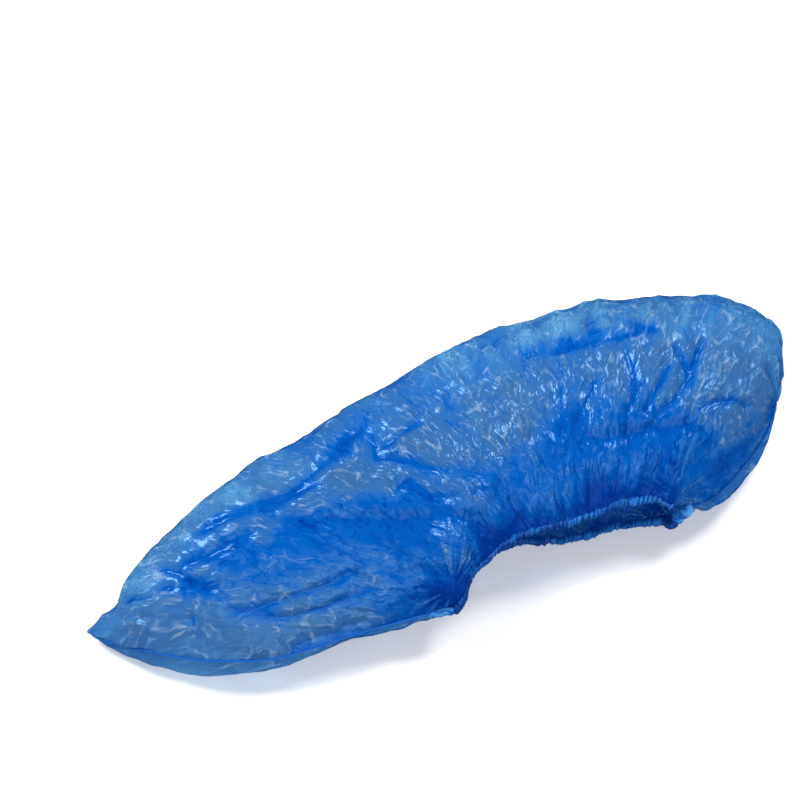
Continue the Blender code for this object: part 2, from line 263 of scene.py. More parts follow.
# Patches of the upper film: where the film doubles and its blue is deep, and where one
# layer stands clear of the other and is pale, with a strength below zero. Places and
# sizes are in mm in plan.
PATCHES = (
    # x, y, half_length, half_width, turn_degrees, strength
    (-68, -21, 61, 19, -13, 0.50),
    (-13, -35, 46, 16, -29, 0.50),
    (-37, -59, 31, 14, 6, 0.55),
    (30, -37, 46, 22, -8, 0.45),
    (79, -38, 46, 19, -15, 0.55),
    (89, -54, 41, 14, -11, 0.45),
    (78, -17, 18, 22, -24, 0.35),
    (-134, -18, 20, 5, -32, 0.40),
    (-115, -11, 24, 7, 2, 0.40),
    (-117, 12, 23, 4, 2, 0.35),
    (-98, 10, 21, 5, -7, 0.35),
    (-37, 23, 21, 5, 28, 0.35),
    (102, -48, 10, 33, -45, 0.30),
    (80, 25, 31, 5, -7, 0.25),
    (139, -5, 8, 22, -40, 0.15),
    (-84, 20, 21, 9, 8, -0.45),
    (-36, -1, 22, 9, -37, -0.35),
    (-14, 11, 14, 6, -56, -0.20),
    (-5, -23, 13, 5, -35, -0.30),
    (35, -1, 31, 13, 13, -0.12),
    (93, 34, 31, 8, -11, -0.50),
    (121, 27, 25, 8, -24, -0.40),
    (88, -5, 15, 14, -24, -0.20),
    (118, -23, 5, 14, -40, -0.25),
    (160, -9, 24, 19, -61, -0.30),
    (148, -49, 9, 8, -24, -0.30),
    (164, -38, 6, 27, -32, -0.30),
    (-129, -11, 10, 4, -35, -0.45),
    (-122, -28, 10, 4, -40, -0.40),
    (-145, 16, 23, 11, 16, -0.75),
    (-117, 26, 23, 9, 16, -0.75),
    (-168, -14, 24, 13, -37, -0.50),
    (-152, -39, 46, 13, -30, -0.62),
    (-96, -5, 11, 5, -2, -0.45),
    (-87, -54, 26, 7, -15, -0.40),
    (-93, -40, 13, 5, -8, -0.25),
    (46, -52, 7, 12, -35, -0.30),
)

# How far the edges of the patches are jagged.
PATCH_JAG_MM = 3.0

# Where the film bunches up beside the hem, in mm in plan: x, y and reach.
BUNCHES = ((67, -56, 9), (8, -52, 7), (-26, -65, 8))

# The film's blue counts its layers, from 0, clear and single, over 1, doubled, to the most,
# bunched. Each value here is what one cause adds: the side's own colour, the gathers toward
# the mouth, the dense film at the hem, a bunch, and a fold's wide and narrow line. The crests'
# and the relief's values are painted light and shade instead: crease ridges and rises paler,
# crease valleys and hollows deeper blue.
LOWER_BLUE = 0.26
UPPER_BLUE = 0.38
GATHER_BLUE = 0.30
GATHER_REACH = 0.040
GATHERED_MOST = 0.95
HEM_BLUE = 0.7
HEM_BLUE_REACH = 0.007
BUNCH_BLUE = 0.8
FOLD_BLUE = 0.35
FOLD_LINE_BLUE = 0.45
FOLD_LINE_MM = 0.9
CREST_LIGHT_AND_SHADE = 0.35
RELIEF_LIGHT_AND_SHADE = 80
MOST_BLUE = 1.8

# Random nets repeat after so many cells.
NET_SIZE = 64


def net_corners(u, v, seed):
    """The heights at the four corners of a place's cell in a random net, and the place's own
    shares of the way across the cell."""
    net = np.random.default_rng(seed).uniform(-1, 1, (NET_SIZE, NET_SIZE))
    i, j = np.floor(u).astype(int), np.floor(v).astype(int)
    here_i, here_j = i % NET_SIZE, j % NET_SIZE
    next_i, next_j = (i + 1) % NET_SIZE, (j + 1) % NET_SIZE
    corners = net[here_i, here_j], net[next_i, here_j], net[here_i, next_j], net[next_i, next_j]
    return corners, u - i, v - j


def facet_noise(u, v, seed):
    """Heights that are flat between the corners of a triangle net, so they meet in creases."""
    (near, right, above, far), fu, fv = net_corners(u, v, seed)
    low = near + (right - near) * fu + (above - near) * fv
    high = far + (above - far) * (1 - fu) + (right - far) * (1 - fv)
    return np.where(fu + fv < 1, low, high)


def soft_noise(u, v, seed):
    """Heights that roll smoothly between the corners of a square net."""
    (near, right, above, far), fu, fv = net_corners(u, v, seed)
    fu, fv = smooth_step(fu), smooth_step(fv)
    low = near * (1 - fu) + right * fu
    high = above * (1 - fu) + far * fu
    return low * (1 - fv) + high * fv


def smooth_step(value):
    """A rise from 0 to 1 over values from 0 to 1, level at both ends."""
    value = np.clip(value, 0, 1)
    return value * value * (3 - 2 * value)


def sections_at(rows):
    """The table's values at row numbers, whole or not, on smooth curves through the rows."""
    before = np.minimum(rows.astype(int), LAST_ROW - 1)
    part = (rows - before)[..., None]
    p0, p1, p2, p3 = (SECTIONS[np.clip(before + k, 0, LAST_ROW)] for k in (-1, 0, 1, 2))
    square, cube = part**2, part**3
    return (
        (2 * cube - 3 * square + 1) * p1
        + (cube - 2 * square + part) * (p2 - p0) / 2
        + (3 * square - 2 * cube) * p2
        + (cube - square) * (p3 - p1) / 2
    )


def mouth_share(rows):
    """How far along the mouth rows are, from 0 at its toe corner to 1 at its heel corner."""
    return np.clip((rows - TOE_CORNER_ROW) / (HEEL_CORNER_ROW - TOE_CORNER_ROW), 0, 1)


def mouth_rows(share):
    """The row numbers at shares of the mouth's run."""
    return TOE_CORNER_ROW + (HEEL_CORNER_ROW - TOE_CORNER_ROW) * share


def lip(rows, lower):
    """The film's rim at rows: one seam outside the mouth, and two lips that part in it."""
    s = sections_at(rows)
    share = mouth_share(rows)
    parting = (4 * share * (1 - share)) ** LIP_ROUNDNESS
    rim = s[..., RIM_X : RIM_Z + 1] * COVER
    rim[..., 2] += np.where(lower, -0.5, 0.5) * MOUTH_GAPE * parting
    rim[..., 1] += np.where(lower, MOUTH_TUCK, 0) * parting * (1 - share / TUCK_END)
    return rim


def smooth_film(rows, turns, lower):
    """Points on the film without folds. Turns run from 0 at the rim to 1 at the sole fold."""
    s = sections_at(rows)
    rim = lip(rows, lower)
    sole = s[..., SOLE_X : SOLE_Z + 1] * COVER
    swell = np.sin(np.pi * turns)
    cosine = (1 - np.cos(np.pi * turns)) / 2
    pointed = cosine + s[..., POINT] * (np.sin(np.pi * turns / 2) - cosine)
    across = np.where(lower, cosine, pointed)[..., None]
    point = rim + (sole - rim) * across
    edge_height = (rim[..., 2] + sole[..., 2]) / 2
    outward = (rim - sole)[..., :2]
    outward /= np.linalg.norm(outward, axis=-1)[..., None]
    belly = s[..., BELLY] * COVER[1] * swell * (1 - turns) ** 3
    point[..., :2] += outward * np.where(lower, belly, 0)[..., None]
    height = np.where(lower, s[..., KEEL], s[..., CROWN]) * COVER[2]
    point[..., 2] += (height - edge_height) * swell
    point[..., 2] = np.maximum(point[..., 2], 0)
    return point + PLACE


def hem_way(share, lower):
    """The way that the hem stands off the mouth's rim, at shares of the mouth's run."""
    angle = np.arccos(1 - 2 * share)
    angle = np.where(lower, 2 * np.pi - angle, angle)
    s = sections_at(mouth_rows(share))
    across = (s[..., RIM_X : RIM_Z + 1] - s[..., SOLE_X : SOLE_Z + 1]) * COVER * (1, 1, 0)
    tilt = -HEM_TILT * np.sin(angle)
    way = across / np.linalg.norm(across, axis=-1)[..., None] * np.cos(tilt)[..., None]
    way[..., 0] += CORNER_RATIO * np.cos(angle) ** 5
    way[..., 2] = np.sin(tilt)
    return way / np.linalg.norm(way, axis=-1)[..., None]


def hem_line(count):
    """Even points on the hem's middle line, once round the mouth, and their ways out."""
    # Four samples a degree, to measure the line by.
    angle = np.linspace(0, 2 * np.pi, 4 * 360 + 1)
    share = (1 - np.cos(angle)) / 2
    lower = angle > np.pi
    way = hem_way(share, lower)
    line = lip(mouth_rows(share), lower) + PLACE + way * HEM_REACH
    run = np.concatenate(([0], np.cumsum(np.linalg.norm(np.diff(line, axis=0), axis=1))))
    even = np.arange(count) / count * run[-1]
    return tuple(
        np.column_stack([np.interp(even, run, column) for column in grid.T]) for grid in (line, way)
    )


def camera_axes():
    """The camera's right, up and backward ways."""
    turn, lift = VIEW_TURN, VIEW_HEIGHT
    right = Vector((math.cos(turn), math.sin(turn), 0))
    up = Vector((-math.sin(turn) * math.sin(lift), math.cos(turn) * math.sin(lift), math.cos(lift)))
    return right, up, right.cross(up)


def camera_place():
    """The camera's place, from which the cover's middle falls on its pixel."""
    right, up, back = camera_axes()
    half = PICTURE_WIDTH / 2
    middle = MIDDLE_PLACE + right * (half - MIDDLE_PIXEL[0]) / PICTURE_SCALE
    middle = middle - up * (half - MIDDLE_PIXEL[1]) / PICTURE_SCALE
    distance = LENS_MM / SENSOR_MM * PICTURE_WIDTH / PICTURE_SCALE
    return middle + back * distance


def line_distance(places, line):
    """How far places are from a line through points, and how far along it they lie."""
    nearest = np.full(places.shape[:-1], 1e9)
    along = np.zeros(places.shape[:-1])
    steps = len(line) - 1
    for k in range(steps):
        start, end = np.array(line[k], float), np.array(line[k + 1], float)
        run = end - start
        share = np.clip((places - start) @ run / (run @ run), 0, 1)
        away = np.linalg.norm(places - start - share[..., None] * run, axis=-1)
        closer = away < nearest
        nearest = np.where(closer, away, nearest)
        along = np.where(closer, (k + share) / steps, along)
    return nearest, along


def fan_place(points):
    """Points' places in the fan of pull lines: their angle about its middle, and their distance
    from it in plan."""
    middle = np.array(FAN_MIDDLE) * COVER[:2] + PLACE[:2]
    away = points[..., :2] - middle
    radius = np.linalg.norm(away, axis=-1)
    angle = np.arctan2(away[..., 1], away[..., 0])
    return angle, radius


def pull_places(points):
    """The film's own coordinates, in metres: across the lines of pull and along them. Steep
    walls count with their true length, from the sole fold."""
    angle, radius = fan_place(points)
    step = np.diff(points, axis=1, prepend=points[:, :1])
    rise = np.linalg.norm(step, axis=-1) - np.linalg.norm(step[..., :2], axis=-1)
    climb = np.cumsum(rise, axis=1)
    climb -= climb[:, UPPER_ROWS : UPPER_ROWS + 1]
    return angle * PULL_RADIUS, np.log(radius / PULL_RADIUS) * PULL_RADIUS + climb


def grid_normals(points):
    """Unit ways out of the film at the points of its grid."""
    normal = np.cross(np.gradient(points, axis=0), np.gradient(points, axis=1))
    length = np.linalg.norm(normal, axis=-1)[..., None]
    return normal / np.maximum(length, 1e-12)


def film_grid():
    """The film's row numbers, turns and side over its grid, from rim to rim."""
    toe = np.linspace(0, TOE_CORNER_ROW, TOE_COLUMNS + 1)
    mouth = np.linspace(TOE_CORNER_ROW, HEEL_CORNER_ROW, MOUTH_COLUMNS + 1)
    heel = np.linspace(HEEL_CORNER_ROW, LAST_ROW, HEEL_COLUMNS + 1)
    rows = np.concatenate((toe, mouth[1:], heel[1:]))
    upper = np.linspace(0, 1, UPPER_ROWS + 1)
    lower = np.linspace(1, 0, LOWER_ROWS + 1)
    turns = np.concatenate((upper, lower[1:]))
    below = np.arange(len(turns)) > UPPER_ROWS
    shape = (len(rows), len(turns))
    return (
        np.broadcast_to(rows[:, None], shape),
        np.broadcast_to(turns, shape),
        np.broadcast_to(below, shape),
    )


def new_mesh(name, points, faces, attributes):
    """A smooth mesh with a float attribute on its points for each named grid of values."""
    mesh = bpy.data.meshes.new(name)
    mesh.from_pydata(points.reshape(-1, 3).tolist(), [], faces)
    for label, values in attributes.items():
        mesh.attributes.new(label, "FLOAT", "POINT").data.foreach_set(
            "value", np.ascontiguousarray(values, dtype=np.float32).ravel()
        )
    mesh.shade_smooth()
    made = bpy.data.objects.new(name, mesh)
    bpy.context.scene.collection.objects.link(made)
    return made


def make_tube(name, line, ways, wide, high, segments, closed=False, rib=None):
    """A tube along a line, half as wide along its ways and half as high across them. Rib is
    how far its rings, or its points, stand out, from 0 to 1."""
    tangent = np.gradient(line, axis=0)
    if closed:
        tangent = np.roll(line, -1, axis=0) - np.roll(line, 1, axis=0)
    up = np.cross(ways, tangent)
    up /= np.linalg.norm(up, axis=1)[:, None]
    angle = np.arange(segments) / segments * 2 * np.pi
    ring_wide = np.cos(angle)[None, :, None] * ways[:, None] * wide[..., None]
    ring_high = np.sin(angle)[None, :, None] * up[:, None] * high[..., None]
    points = line[:, None] + ring_wide + ring_high
    points[..., 2] = np.maximum(points[..., 2], FLOOR_GAP)
    count = len(line)
    index = np.arange(count * segments).reshape(count, segments)
    after = np.roll(index, -1, axis=0) if closed else index[1:]
    before = index if closed else index[:-1]
    corners = (before, np.roll(before, -1, axis=1), np.roll(after, -1, axis=1), after)
    faces = np.stack(corners, axis=-1).reshape(-1, 4).tolist()
    if not closed:
        faces += [index[0, ::-1].tolist(), index[-1].tolist()]
    even_rib = np.full((count, 1), 0.7)
    ribs = np.broadcast_to(even_rib if rib is None else rib, (count, segments))
    return new_mesh(name, points, faces, {"rib": ribs})


def make_hem():
    """The gathered hem: a tube of film round the elastic, ribbed where the film bunches. Its
    ribs, swells and sway come from noise with so many cells once round the mouth."""
    line, way = hem_line(HEM_RINGS)
    run = np.linalg.norm(np.roll(line, -1, axis=0) - line, axis=1).sum()
    turn = np.arange(HEM_RINGS) / HEM_RINGS
    level = np.zeros(HEM_RINGS)
    uneven = 1.5 * soft_noise(turn * 62, level, 61)
    phase = turn * round(run / (HEM_RIB_MM * MM)) + uneven
    # The ribs also set the hem's colour: painted highlights on them and painted shade between them.
    rib = np.abs(np.sin(np.pi * phase))[:, None]
    angle = np.arange(HEM_SEGMENTS) / HEM_SEGMENTS * 2 * np.pi
    swell = soft_noise(turn[:, None] * 40, angle / np.pi * 2, 62)
    small = soft_noise(turn[:, None] * 190, angle / np.pi * 3, 63)
    radius = HEM_RADIUS * (0.60 + 0.38 * rib**0.7 + 0.34 * swell + 0.22 * small)
    sway = HEM_SWAY * np.stack([soft_noise(turn * 50, level + k, 64) for k in range(3)], axis=-1)
    shown = 0.15 + 0.85 * smooth_step(0.5 + 0.9 * soft_noise(turn * 46, level, 65))[:, None]
    return make_tube(
        "gathered_hem", line + sway, way, radius, radius, HEM_SEGMENTS, closed=True, rib=rib * shown
    )


def make_elastic():
    """The elastic: a thin rubber thread along the middle of the hem."""
    line, way = hem_line(ELASTIC_RINGS)
    radius = np.full((ELASTIC_RINGS, 1), ELASTIC_RADIUS)
    return make_tube("elastic_thread", line, way, radius, radius, ELASTIC_SEGMENTS, closed=True)


def seal_line(first, last, count):
    """Points on the welded seam between two rows, and the ways that the weld stands out."""
    rows = np.linspace(first, last, count)
    line = lip(rows, False) + PLACE
    run = np.gradient(line, axis=0)
    way = np.stack((run[:, 1], -run[:, 0], run[:, 0] * 0), axis=-1)
    way /= np.linalg.norm(way, axis=1)[:, None]
    way = (way + (0, 0, 1)) / math.sqrt(2)
    return line, way


def make_seal(name, first, last, count, seed):
    """The weld between two rows: a thin flat bead that wavers in width and has tapered ends."""
    line, way = seal_line(first, last, count)
    share = np.linspace(0, 1, count)
    taper = np.sqrt(smooth_step(np.minimum(share, 1 - share) * 30) + 0.02)
    wave = 1 + 0.3 * soft_noise(share * 60, share * 0, seed)
    wide = (SEAL_WIDTH / 2 * taper * wave)[:, None]
    high = (SEAL_THICKNESS / 2 * taper)[:, None]
    return make_tube(name, line + way * wide * 0.8, way, wide, high, SEAL_SEGMENTS)


def make_tab(name, start, end, half_width_mm, half_height_mm, seed):
    """A loose end of film, rolled and crumpled, between two points in mm."""
    share = np.linspace(0, 1, TAB_RINGS)
    start, end = np.array(start) * MM + PLACE, np.array(end) * MM + PLACE
    run = end - start
    wander = np.stack([soft_noise(share * 5, share * 0 + k, seed) for k in range(3)], axis=-1)
    line = start + run * share[:, None] + TAB_WANDER * wander
    way = np.array((run[1], -run[0], 0)) / math.hypot(run[0], run[1])
    angle = np.arange(TAB_SEGMENTS) / TAB_SEGMENTS * 2 * np.pi
    crumple = 1 + 0.25 * facet_noise(share[:, None] * 9, angle / np.pi * 5, seed)
    taper = np.sqrt(smooth_step(np.minimum(share, 1 - share) * 22) + 0.03)[:, None]
    wide = half_width_mm * MM * crumple * taper
    high = half_height_mm * MM * crumple * taper
    crease = smooth_step(0.5 + 0.8 * facet_noise(share[:, None] * 6, angle / np.pi * 4, seed + 5))
    return make_tube(name, line, np.tile(way, (TAB_RINGS, 1)), wide, high, TAB_SEGMENTS, rib=crease)


def scatter_creases(points):
    """Ridges and valleys with sharp crests along short bent lines: how far they stand out,
    and painted light and shade along their crests, paler on ridges and deeper blue in valleys."""
    plan = (points - PLACE)[..., :2] / MM
    fan_middle = np.array(FAN_MIDDLE) * COVER[:2] / MM
    upper_columns = slice(0, UPPER_ROWS + 1)
    lower_columns = slice(UPPER_ROWS + 1, None)
    relief = np.zeros(points.shape[:2])
    crest_light_and_shade = np.zeros(points.shape[:2])
    for number, length, height, reach, wander, seed in CREASES:
        rng = np.random.default_rng(seed)
        for _crease in range(number):
            row, turn = rng.uniform(0.04, 0.97, 2)
            columns = upper_columns if rng.random() < 0.75 else lower_columns
            part = plan[:, columns]
            centre = part[int(row * (part.shape[0] - 1)), int(turn * (part.shape[1] - 1))]
            pull = centre - fan_middle
            heading = math.atan2(pull[1], pull[0]) + math.radians(rng.normal(0, wander))
            half = length * rng.uniform(0.3, 0.7)
            bend = rng.normal(0, 0.25)
            line = []
            for k in (-1, 0, 1):
                bearing = heading + bend * k
                line.append(centre + np.array((math.cos(bearing), math.sin(bearing))) * half * k)
            away, along = line_distance(part, line)
            fade = np.sin(np.pi * along) ** 0.8
            profile = np.exp(-away / reach / rng.uniform(0.7, 1.3)) * fade
            sign = 1 if rng.random() < 0.6 else -1
            relief[:, columns] += sign * height * MM * rng.uniform(0.5, 1.2) * profile
            crest_light_and_shade[:, columns] -= sign * np.exp(-((away / CREST_MM) ** 2)) * fade
    return relief, crest_light_and_shade


def folded_depth(plan, shown):
    """How the long folds and the patches change the film's relief and its depth of blue."""
    relief = np.zeros(shown.shape)
    depth = np.zeros(shown.shape)
    for fold_depth, reach, places in FOLDS:
        away, along = line_distance(plan, places)
        ends = smooth_step(np.minimum(along, 1 - along) * 6) * shown
        relief -= fold_depth * MM * np.exp(-((away / reach) ** 2)) * ends
        depth += FOLD_BLUE * np.exp(-((away / (reach * 1.5)) ** 2)) * ends
        depth += FOLD_LINE_BLUE * np.exp(-((away / FOLD_LINE_MM) ** 2)) * ends
    x_place = plan[..., 0] + PATCH_JAG_MM * facet_noise(plan[..., 0] / 8, plan[..., 1] / 6, 5)
    y_place = plan[..., 1] + PATCH_JAG_MM * facet_noise(plan[..., 0] / 7, plan[..., 1] / 6, 6)
    for x, y, half_length, half_width, turn, strength in PATCHES:
        heading = math.radians(turn)
        dx, dy = x_place - x, y_place - y
        u = (dx * math.cos(heading) + dy * math.sin(heading)) / half_length
        v = (dy * math.cos(heading) - dx * math.sin(heading)) / half_width
        depth += strength * np.exp(-(((u**2 + v**2) * 0.95) ** 2)) * shown
    return relief, depth


def rim_distance(angle, radius):
    """How far out from the mouth's rim places in the fan of pull lines are."""
    rim = lip(np.linspace(TOE_CORNER_ROW, HEEL_CORNER_ROW, 60), False) + PLACE
    rim_angle, rim_radius = fan_place(rim)
    return np.maximum(radius - np.interp(angle, rim_angle[::-1], rim_radius[::-1]), 0)


def pleat_relief(angle, radius, from_mouth, below):
    """The pleats that fan out from the gathered mouth. The two sides have their own."""
    relief = np.zeros(angle.shape)
    waver = soft_noise(angle * 4, radius / 0.03, 7) * 0.06
    for number, height, fade, seed in PLEATS:
        turn = angle * number / (2 * np.pi) + waver * number / 12 + np.where(below, 500, 0)
        pleat = soft_noise(turn * 2, radius / (fade * MM * 2), seed)
        relief += height * MM * pleat * np.exp(-from_mouth / (fade * MM))
    return relief


def corner_pleats(plan):
    """The tight pleats at the mouth's corners: their relief, and the painted light and shade that they add
    to the blue.
    """
    relief = np.zeros(plan.shape[:2])
    depth = np.zeros(plan.shape[:2])
    for x, y, number, height, reach, seed in CORNER_FANS:
        dx, dy = plan[..., 0] - x, plan[..., 1] - y
        away = np.hypot(dx, dy)
        bearing = np.arctan2(dy, dx) * number / (2 * np.pi)
        pleat = soft_noise(bearing * 2, away / reach, seed) * np.exp(-away / reach)
        pleat *= smooth_step(away / CORNER_FAN_START_MM)
        relief += height * MM * pleat
        # Painted light and shade: paler on the pleats' crests, deeper blue in their troughs.
        depth -= CORNER_FAN_SHADE * pleat
    return relief, depth


def facet_relief(points, across_place, along_place, taut):
    """The facets of crumpled film: some drawn out along the pull, and some even and turned.
    Where the film is taut they are shallower, the small ones above all."""
    relief = np.zeros(taut.shape)
    for across, along, height, seed in FACETS:
        bend = across * MM * 0.8
        x_part, y_part = points[..., 0] / bend / 2, points[..., 1] / bend / 2
        u = across_place + bend * soft_noise(x_part, y_part, seed + 40)
        v = along_place + bend * soft_noise(y_part, x_part, seed + 50)
        fan_part = facet_noise(u / (across * MM), v / (along * MM), seed)
        even = math.sqrt(across * along) * MM
        turned = (across_place * 0.8 + along_place * 0.6) / even
        square = (along_place * 0.8 - across_place * 0.6) / even
        even_part = facet_noise(turned, square + turned * 0.5, seed + 20)
        calm = 1 - (0.65 if across < 5 else 0.25) * taut
        relief += height * MM * (0.6 * fan_part + 0.4 * even_part) * calm
    return relief


def film_relief(points, rows, turns, below):
    """How far the film stands off its smooth form, and how deep its blue is there."""
    angle, radius = fan_place(points)
    from_mouth = rim_distance(angle, radius)
    across_place, along_place = pull_places(points)
    share = mouth_share(rows)
    plan = (points - PLACE)[..., :2] / MM

    # The long folds and the patches are on the upper side, and fade out at the sole fold.
    shown = np.where(below, 0, smooth_step((1 - turns) / 0.15))
    relief, depth = folded_depth(plan, shown)
    taut = np.clip(depth / 0.5, 0, 1)
    corner_relief, corner_light_and_shade = corner_pleats(plan)
    creased, crest_light_and_shade = scatter_creases(points)
    relief += pleat_relief(angle, radius, from_mouth, below) + corner_relief
    relief += facet_relief(points, across_place, along_place, taut)
    relief += creased * (1 - 0.4 * taut)

    # The relief dies away at the sole fold and at the welds, and less so at the mouth's rim.
    edge = smooth_step(turns / 0.05) * smooth_step((1.04 - turns) / 0.06)
    sealed = (share <= 0) | (share >= 1)
    relief *= np.where(sealed, edge, np.maximum(edge, 0.35))

    # The gathers' blue is weaker toward the two tips, which lie rows away from the mouth.
    beside_mouth = smooth_step((rows - 4) / 4) * smooth_step((21 - rows) / 4)
    depth += corner_light_and_shade + np.where(below, LOWER_BLUE, UPPER_BLUE)
    depth += GATHER_BLUE * np.exp(-from_mouth / GATHER_REACH) * (0.6 + 0.4 * beside_mouth)
    depth = np.minimum(depth, GATHERED_MOST)
    depth += HEM_BLUE * np.exp(-from_mouth / HEM_BLUE_REACH) * smooth_step(share * (1 - share) * 40)
    for x, y, reach in BUNCHES:
        away = np.hypot(plan[..., 0] - x, plan[..., 1] - y)
        depth += BUNCH_BLUE * np.exp(-((away / reach) ** 2)) * shown
    for across, along, strength, seed in DEPTH_CHANGES:
        u, v = across_place / (across * MM), along_place / (along * MM)
        calm = 1 - 0.75 * np.clip(depth, 0, 1)
        depth += strength * calm * facet_noise(u, v, seed)
    # Painted light and shade: crease ridges and raised relief paler, crease valleys and hollows deeper blue.
    depth += CREST_LIGHT_AND_SHADE * crest_light_and_shade * (1 - 0.5 * taut) - RELIEF_LIGHT_AND_SHADE * relief
    return relief, np.clip(depth, 0, MOST_BLUE)


def make_film():
    """The bag of film, as one sheet from rim to rim round the sole fold."""
    rows, turns, below = film_grid()
    points = smooth_film(rows, turns, below)
    inner = smooth_step((turns - 0.02) / 0.14)[1:-1, :, None]
    for _pass in range(CORNER_SMOOTHING):
        even = (points[:-2] + 2 * points[1:-1] + points[2:]) / 4
        points[1:-1] += (even - points[1:-1]) * inner
    relief, depth = film_relief(points, rows, turns, below)
    points = points + grid_normals(points) * relief[..., None]

    # A collar of film reaches out to the hem all round the mouth.
    share = mouth_share(rows)
    collar = smooth_step(1 - turns / 0.045) * ((share > 0) & (share < 1))
    points = points + hem_way(share, below) * (HEM_REACH * collar)[..., None]

    # The toe narrows to its tip, and the heel closes on the chord from its rim to its sole.
    seam = (points[:, :1] + points[:, -1:]) / 2
    tip = (np.clip(rows / TIP_ROWS, 0, 1) ** 0.65)[..., None]
    points = seam + (points - seam) * (TIP_SIZE + (1 - TIP_SIZE) * tip)
    sole = points[:, UPPER_ROWS : UPPER_ROWS + 1]
    chord = points[:, :1] + (sole - points[:, :1]) * turns[..., None]
    heel = np.sqrt(np.clip((LAST_ROW - rows) / HEEL_END_ROWS, 0, 1))[..., None]
    points = chord + (points - chord) * heel
    points[..., 2] = np.maximum(points[..., 2], FLOOR_GAP)

    columns, across_count = points.shape[:2]
    index = np.arange(columns * across_count).reshape(columns, across_count)
    corners = (index[:-1, :-1], index[:-1, 1:], index[1:, 1:], index[1:, :-1])
    faces = np.stack(corners, axis=-1).reshape(-1, 4).tolist()
    across_place, along_place = pull_places(points)
    # The fold depth counts the film's layers and also carries painted light and shade.
    shading = {"fold_depth": depth, "pull_across": across_place, "pull_along": along_place}
    return new_mesh("film", points, faces, shading)


def hex_colour(code):
    """The linear colour of an sRGB hex code."""
    parts = [int(code[k : k + 2], 16) / 255 for k in (1, 3, 5)]
    return (*(p / 12.92 if p <= 0.04045 else ((p + 0.055) / 1.055) ** 2.4 for p in parts), 1)


def add_node(material, kind, settings=None, links=None):
    """Adds a node of one kind, with its settings and its linked inputs by name or number."""
    tree = material.node_tree
    node = tree.nodes.new(kind)
    for key, value in (settings or {}).items():
        if key in node.inputs.keys() or isinstance(key, int):
            node.inputs[key].default_value = value
        else:
            setattr(node, key, value)
    for key, source in (links or {}).items():
        tree.links.new(source, node.inputs[key])
    return node


def new_material(name):
    """An empty material with nodes."""
    material = bpy.data.materials.new(name)
    material.use_nodes = True
    material.node_tree.nodes.clear()
    return material


def facet_height(material, place, size_mm, stretch):
    """Bump height of sharp facets: each cell of a net slopes up from its creased edges."""
    vector = add_node(
        material, "ShaderNodeVectorMath", {"operation": "MULTIPLY", 1: (1, 1 / stretch, 1)}, {0: place}
    )
    return add_node(
        material, "ShaderNodeTexVoronoi",
        {"voronoi_dimensions": "2D", "feature": "DISTANCE_TO_EDGE", "Scale": 1000 / size_mm},
        {"Vector": vector.outputs[0]},
    ).outputs["Distance"]


def crease_and_glint_mask(material, place, height, size_mm, strength):
    """A mask of the facets' creases, where bent film turns white and glints are painted,
    broken into short runs that are half as long again as a facet."""
    near = add_node(
        material, "ShaderNodeMapRange",
        {"From Min": 0.0, "From Max": 0.12, "To Min": strength, "To Max": 0.0}, {"Value": height},
    )
    runs = add_node(
        material, "ShaderNodeTexNoise", {"Scale": 650 / size_mm, "Detail": 2.0}, {"Vector": place}
    )
    shown = add_node(
        material, "ShaderNodeMapRange", {"From Min": 0.50, "From Max": 0.66}, {"Value": runs.outputs["Fac"]}
    )
    return add_node(
        material, "ShaderNodeMath", {"operation": "MULTIPLY"}, {0: near.outputs[0], 1: shown.outputs[0]}
    ).outputs[0]


def thin_lines(material, place, size_mm, stretch, width):
    """A mask of thin wandering lines, drawn out along the pull."""
    drawn = add_node(
        material, "ShaderNodeVectorMath", {"operation": "MULTIPLY", 1: (1, stretch, 1)}, {0: place}
    )
    noise = add_node(
        material, "ShaderNodeTexNoise", {"Scale": 1000 / size_mm, "Detail": 3.0, "Roughness": 0.6},
        {"Vector": drawn.outputs[0]},
    )
    level = add_node(
        material, "ShaderNodeMath", {"operation": "SUBTRACT", 1: 0.5}, {0: noise.outputs["Fac"]}
    )
    away = add_node(material, "ShaderNodeMath", {"operation": "ABSOLUTE"}, {0: level.outputs[0]})
    return add_node(
        material, "ShaderNodeMapRange",
        {"From Min": 0.0, "From Max": width, "To Min": 1.0, "To Max": 0.0}, {"Value": away.outputs[0]},
    ).outputs[0]


def film_place(material):
    """The film's own coordinates, across and along the pull, bent so that its crumples
    wander."""
    across = add_node(material, "ShaderNodeAttribute", {"attribute_name": "pull_across"})
    along = add_node(material, "ShaderNodeAttribute", {"attribute_name": "pull_along"})
    place = add_node(
        material, "ShaderNodeCombineXYZ", {}, {0: across.outputs["Fac"], 1: along.outputs["Fac"]}
    )
    bend = add_node(
        material, "ShaderNodeTexNoise", {"Scale": 1000 / WANDER_MM, "Detail": 2.0},
        {"Vector": place.outputs[0]},
    )
    return add_node(
        material, "ShaderNodeVectorMath", {"operation": "MULTIPLY_ADD", 1: (WANDER_REACH,) * 3},
        {0: bend.outputs["Color"], 2: place.outputs[0]},
    ).outputs[0]


def film_crumples(material, place, depth):
    """The normal of crumpled, embossed film, calmer where it is stacked, and a mask of its
    whitened creases, partly crease whitening and partly painted glints."""
    calm = add_node(
        material, "ShaderNodeMapRange",
        {"From Min": 0.3, "From Max": 1.0, "To Min": 0.95, "To Max": 0.40}, {"Value": depth},
    )
    normal = None
    creases = []
    for size, stretch, strength, whitening_and_glint in CRUMPLES:
        height = facet_height(material, place, size, stretch)
        if whitening_and_glint:
            creases.append(crease_and_glint_mask(material, place, height, size, whitening_and_glint))
        links = {"Height": height, "Strength": calm.outputs[0]}
        if normal:
            links["Normal"] = normal
        normal = add_node(material, "ShaderNodeBump", {"Distance": strength}, links).outputs["Normal"]
    white = add_node(
        material, "ShaderNodeMath", {"operation": "ADD", "use_clamp": True}, {0: creases[0], 1: creases[1]}
    )
    return normal, white.outputs[0]


